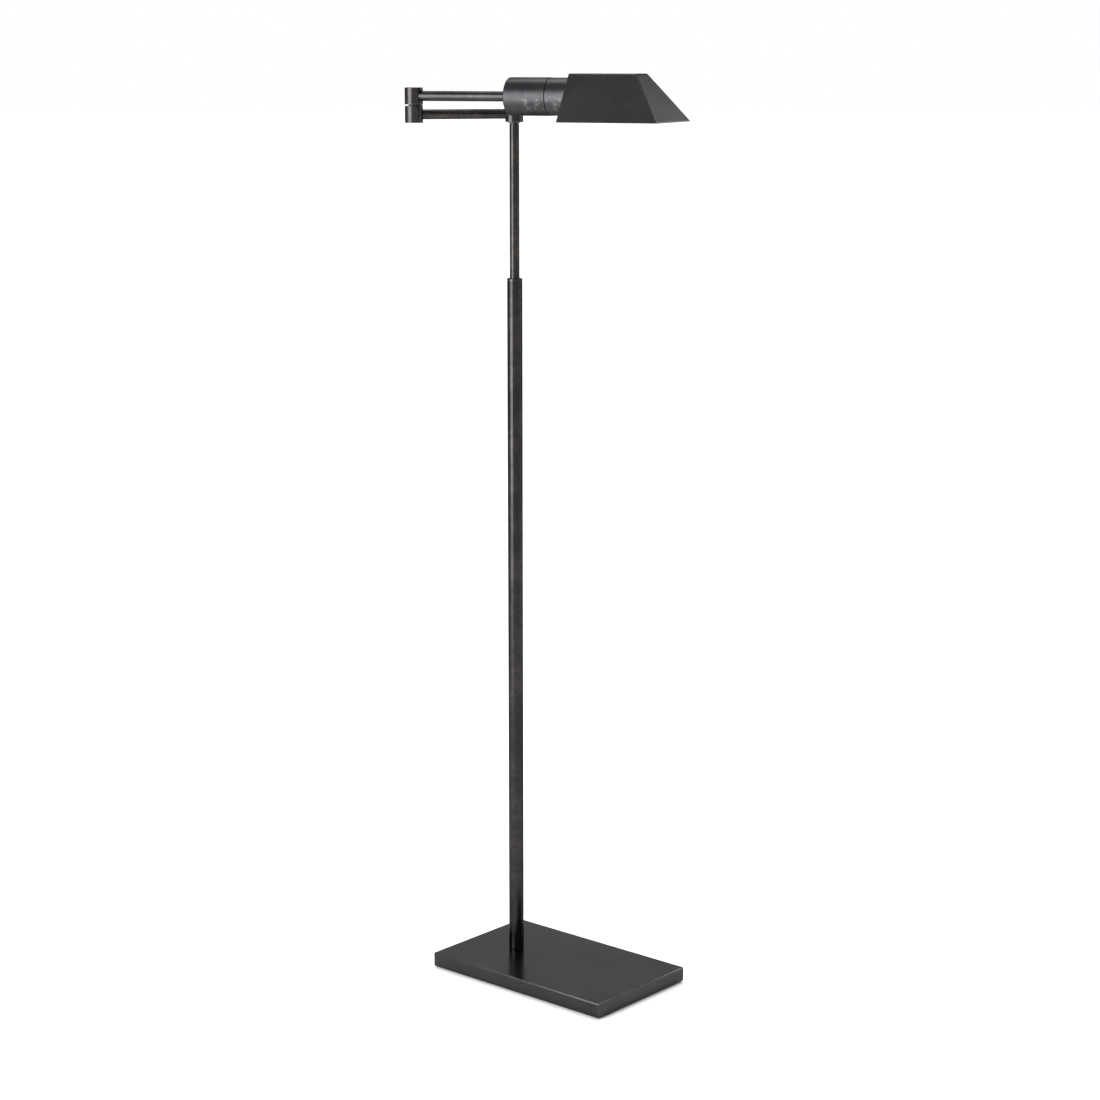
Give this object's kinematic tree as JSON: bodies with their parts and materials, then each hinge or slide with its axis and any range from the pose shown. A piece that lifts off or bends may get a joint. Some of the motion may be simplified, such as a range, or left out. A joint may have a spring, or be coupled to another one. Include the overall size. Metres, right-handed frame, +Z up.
{
  "type": "pharmacy floor lamp",
  "caption": "Adjustable reading floor lamp: rectangular weighted base, telescoping pole, two-piece swing arm and a four-sided metal shade that rolls about its socket.",
  "frame": {"origin": "on the floor under the pole's axis, on the underside of the felt", "axes": "+Z up along the pole; +X along the base plate's long axis, from the end near the pole towards the far end; +Y to the left of +X"},
  "size_m": [0.3445, 0.2053, 1.141],
  "materials": {
    "dark_bronze": "satin",
    "zinc_steel": "satin",
    "brass": "satin",
    "aluminium": "satin",
    "nylon": "satin",
    "black_plastic": "satin",
    "rubber": "matte",
    "felt": "matte",
    "porcelain": "gloss",
    "frosted_glass": "satin"
  },
  "bodies": {
    "base": {"base_plate": "dark_bronze", "base_felt": "felt", "cord_bushing": "black_plastic", "base_washer": "zinc_steel", "base_lock_washer": "zinc_steel", "base_nut": "zinc_steel", "pole_nipple": "zinc_steel", "pole_foot_plug": "zinc_steel", "pole_tube": "dark_bronze", "pole_collar": "dark_bronze", "guide_bush": "black_plastic"},
    "stem": {"stem_tube": "dark_bronze", "stem_slider": "nylon", "slider_ring": "rubber", "pivot_post": "dark_bronze", "hub_thrust_washer": "black_plastic", "pivot_washer": "zinc_steel", "pivot_nut": "zinc_steel"},
    "lower_arm": {"pole_hub": "dark_bronze", "hub_cap": "dark_bronze", "lower_arm_tube": "dark_bronze", "elbow_lower_drum": "dark_bronze", "elbow_pin": "dark_bronze", "elbow_washer": "black_plastic", "elbow_nut": "zinc_steel"},
    "upper_arm": {"elbow_upper_drum": "dark_bronze", "upper_arm_tube": "dark_bronze", "arm_nipple": "zinc_steel", "arm_lock_nut": "zinc_steel", "socket_housing": "dark_bronze", "swivel_stop_screw": "zinc_steel", "socket_bracket": "zinc_steel", "bracket_screw_1": "zinc_steel", "bracket_screw_2": "zinc_steel", "socket_body": "porcelain", "socket_screw_shell": "brass", "socket_contact": "brass", "bulb_tip": "brass", "bulb_insulator": "black_plastic", "bulb_cap": "aluminium", "bulb_glass": "frosted_glass", "dimmer_body": "black_plastic", "dimmer_ring_nut": "dark_bronze"},
    "dimmer_knob": {"dimmer_knob": "dark_bronze", "dimmer_shaft": "brass"},
    "shade": {"swivel_collar": "dark_bronze", "swivel_ring": "nylon", "swivel_stop_pin": "zinc_steel", "shade": "dark_bronze", "shade_ring_nut": "dark_bronze"}
  },
  "joints": [
    {"name": "stem_slide", "type": "slide", "parent": "base", "child": "stem", "axis": [0, 0, 1], "range_m": [-0.18, 0.15]},
    {"name": "pole_swing", "type": "hinge", "parent": "stem", "child": "lower_arm", "pos_m": [0, 0, 1.092], "axis": [0, 0, 1], "range_deg": [-160, 160]},
    {"name": "elbow_swing", "type": "hinge", "parent": "lower_arm", "child": "upper_arm", "pos_m": [-0.06465, -0.10931, 1.114], "axis": [0, 0, 1], "range_deg": [-275, 25]},
    {"name": "shade_roll", "type": "hinge", "parent": "upper_arm", "child": "shade", "pos_m": [0.05462, -0.06964, 1.114], "axis": [0.9489, 0.3156, 0], "range_deg": [-165, 165]},
    {"name": "dimmer_turn", "type": "hinge", "parent": "upper_arm", "child": "dimmer_knob", "pos_m": [0.07265, -0.06364, 1.114], "axis": [-0.3156, 0.9489, 0], "range_deg": [0, 300]}
  ]
}
